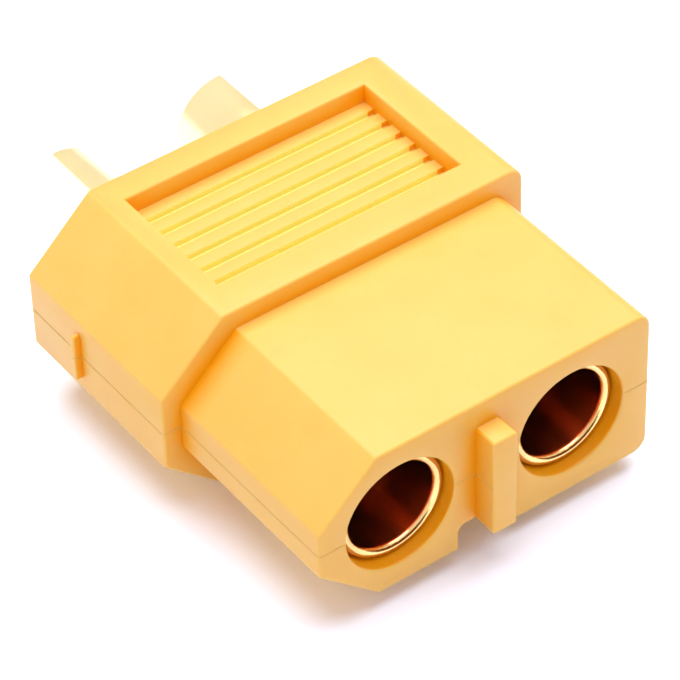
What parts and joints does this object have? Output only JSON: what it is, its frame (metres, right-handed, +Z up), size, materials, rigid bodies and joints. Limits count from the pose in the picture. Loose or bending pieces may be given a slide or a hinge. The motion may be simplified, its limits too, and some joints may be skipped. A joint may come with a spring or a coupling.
{
  "type": "two-pole battery lead connector",
  "caption": "Keyed two-pole battery plug: a moulded yellow housing with gold-plated sockets in its nose and open solder cups behind.",
  "frame": {"origin": "middle of the underside of the bounding box, on the surface that the plug rests on", "axes": "-Y the way the plug goes in, +Y towards the solder cups, +X towards the square, positive side, +Z up"},
  "size_m": [0.016, 0.0218, 0.0079],
  "materials": {
    "housing": "satin moulded nylon",
    "contact": "bright gold plating"
  },
  "bodies": {
    "root": {"housing": "housing", "positive_contact": "contact", "negative_contact": "contact"}
  },
  "joints": []
}
